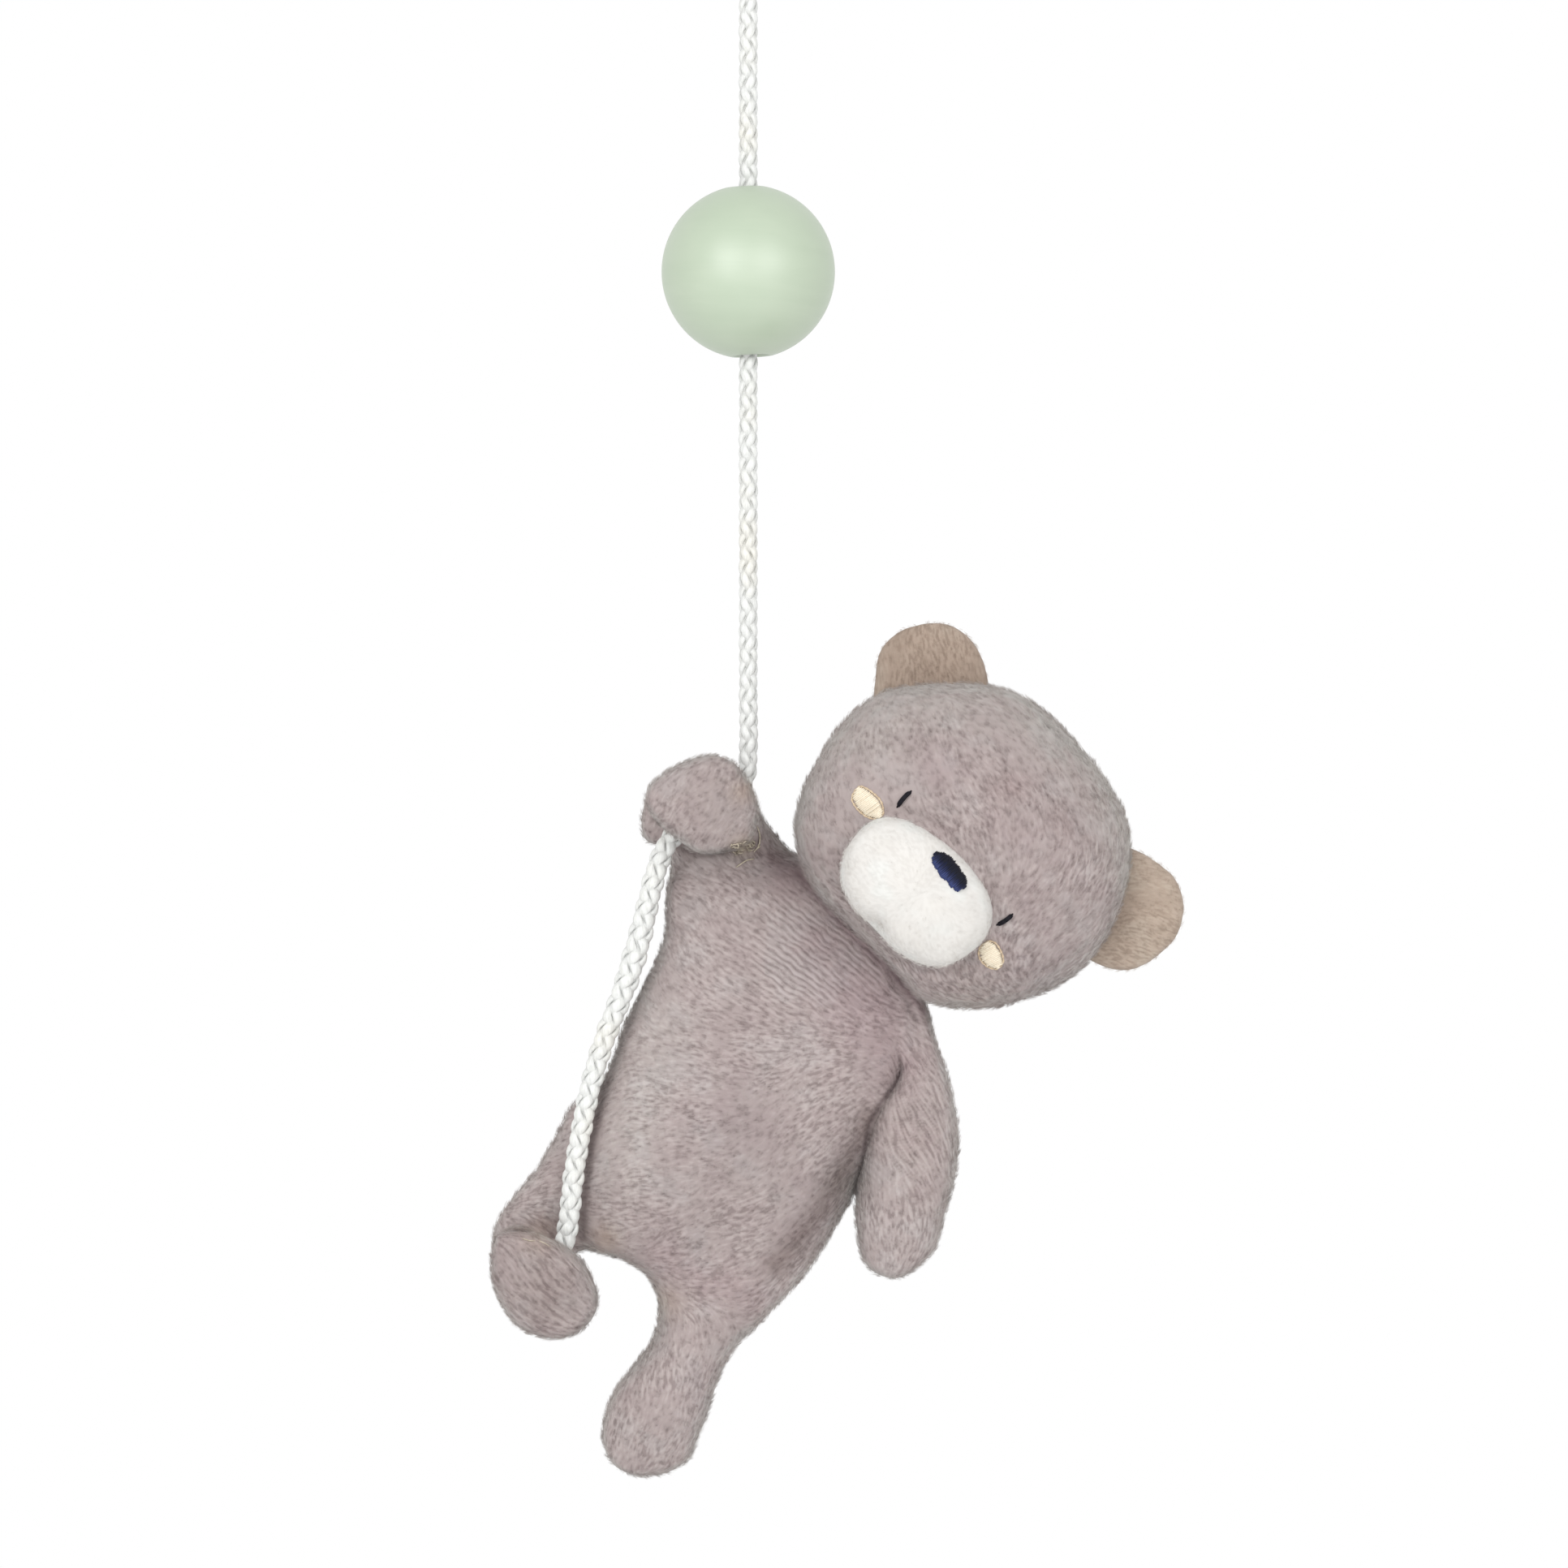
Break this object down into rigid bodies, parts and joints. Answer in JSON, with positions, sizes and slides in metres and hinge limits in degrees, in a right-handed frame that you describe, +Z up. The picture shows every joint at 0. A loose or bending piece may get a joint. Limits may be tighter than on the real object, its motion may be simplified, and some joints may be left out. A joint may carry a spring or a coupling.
{
  "type": "hanging activity gym toy",
  "caption": "Soft stuffed bear that hangs from a braided cord with a looped top and a sliding painted wooden bead; head, ears, arm and leg flex.",
  "frame": {"origin": "seat of the hanging loop, the inside of its top, on the line of the cord", "axes": "+Z up along the hanging cord; -Y is the side the bear faces; +X is to the right as the front of the bear is seen"},
  "size_m": [0.1205, 0.0466, 0.3076],
  "materials": {
    "plush": "matte",
    "ear_fleece": "matte",
    "muzzle_fleece": "matte",
    "filling": "matte",
    "navy_thread": "satin",
    "cream_thread": "satin",
    "tan_thread": "matte",
    "cord": "satin",
    "painted_wood": "satin"
  },
  "bodies": {
    "loop": {"hanging_loop": "cord"},
    "knot": {"loop_knot": "cord"},
    "cord": {"cord_upper": "cord"},
    "bead": {"wood_bead": "painted_wood"},
    "bear": {"torso_front_panel": "plush", "torso_back_panel": "plush", "torso_filling": "filling", "raised_arm_cover": "plush", "raised_arm_filling": "filling", "raised_paw_cover": "plush", "raised_paw_filling": "filling", "cord_leg_cover": "plush", "cord_leg_filling": "filling", "cord_foot_cover": "plush", "cord_foot_filling": "filling", "cord_lower": "cord", "paw_tack_stitch": "tan_thread", "foot_tack_stitch": "tan_thread"},
    "head": {"head_front_panel": "plush", "head_back_panel": "plush", "head_filling": "filling", "muzzle_patch": "muzzle_fleece", "muzzle_filling": "filling", "nose_stitching": "navy_thread", "upper_eye_stitches": "navy_thread", "lower_eye_stitches": "navy_thread", "upper_cheek_patch": "cream_thread", "lower_cheek_patch": "cream_thread"},
    "upper_ear": {"upper_ear_front": "ear_fleece", "upper_ear_back": "ear_fleece"},
    "lower_ear": {"lower_ear_front": "ear_fleece", "lower_ear_back": "ear_fleece"},
    "free_arm": {"free_arm_cover": "plush", "free_arm_filling": "filling"},
    "free_leg": {"free_leg_cover": "plush", "free_leg_filling": "filling"}
  },
  "joints": [
    {"name": "swing_fore", "type": "hinge", "parent": "loop", "child": "knot", "pos_m": [0, 0, -0.031], "axis": [1, 0, 0], "range_deg": [-60, 60]},
    {"name": "swing_side", "type": "hinge", "parent": "knot", "child": "cord", "pos_m": [0, 0, -0.031], "axis": [0, 1, 0], "range_deg": [-60, 60]},
    {"name": "bead_slide", "type": "slide", "parent": "cord", "child": "bead", "axis": [0, 0, 1], "range_m": [-0.064, 0.04]},
    {"name": "bear_twirl", "type": "hinge", "parent": "cord", "child": "bear", "pos_m": [0, 0, -0.1782], "axis": [0, 0, 1], "range_deg": [-180, 180]},
    {"name": "head_nod", "type": "hinge", "parent": "bear", "child": "head", "pos_m": [0.0176, 0.001, -0.2092], "axis": [0.644, 0, -0.765], "range_deg": [-15, 20], "stiffness_Nm_per_rad": 0.03},
    {"name": "upper_ear_flop", "type": "hinge", "parent": "head", "child": "upper_ear", "pos_m": [0.0324, -0.002, -0.1668], "axis": [0.995, 0, 0.1], "range_deg": [-25, 25], "stiffness_Nm_per_rad": 0.002},
    {"name": "lower_ear_flop", "type": "hinge", "parent": "head", "child": "lower_ear", "pos_m": [0.0638, -0.002, -0.2062], "axis": [0.3249, 0, 0.9457], "range_deg": [-25, 25], "stiffness_Nm_per_rad": 0.002},
    {"name": "free_arm_swing", "type": "hinge", "parent": "bear", "child": "free_arm", "pos_m": [0.0292, 0.0045, -0.2294], "axis": [0, -1, 0], "range_deg": [0, 60]},
    {"name": "free_leg_flop", "type": "hinge", "parent": "bear", "child": "free_leg", "pos_m": [-0.0082, 0.006, -0.2772], "axis": [0.9207, 0, -0.3903], "range_deg": [-30, 45], "stiffness_Nm_per_rad": 0.004}
  ]
}
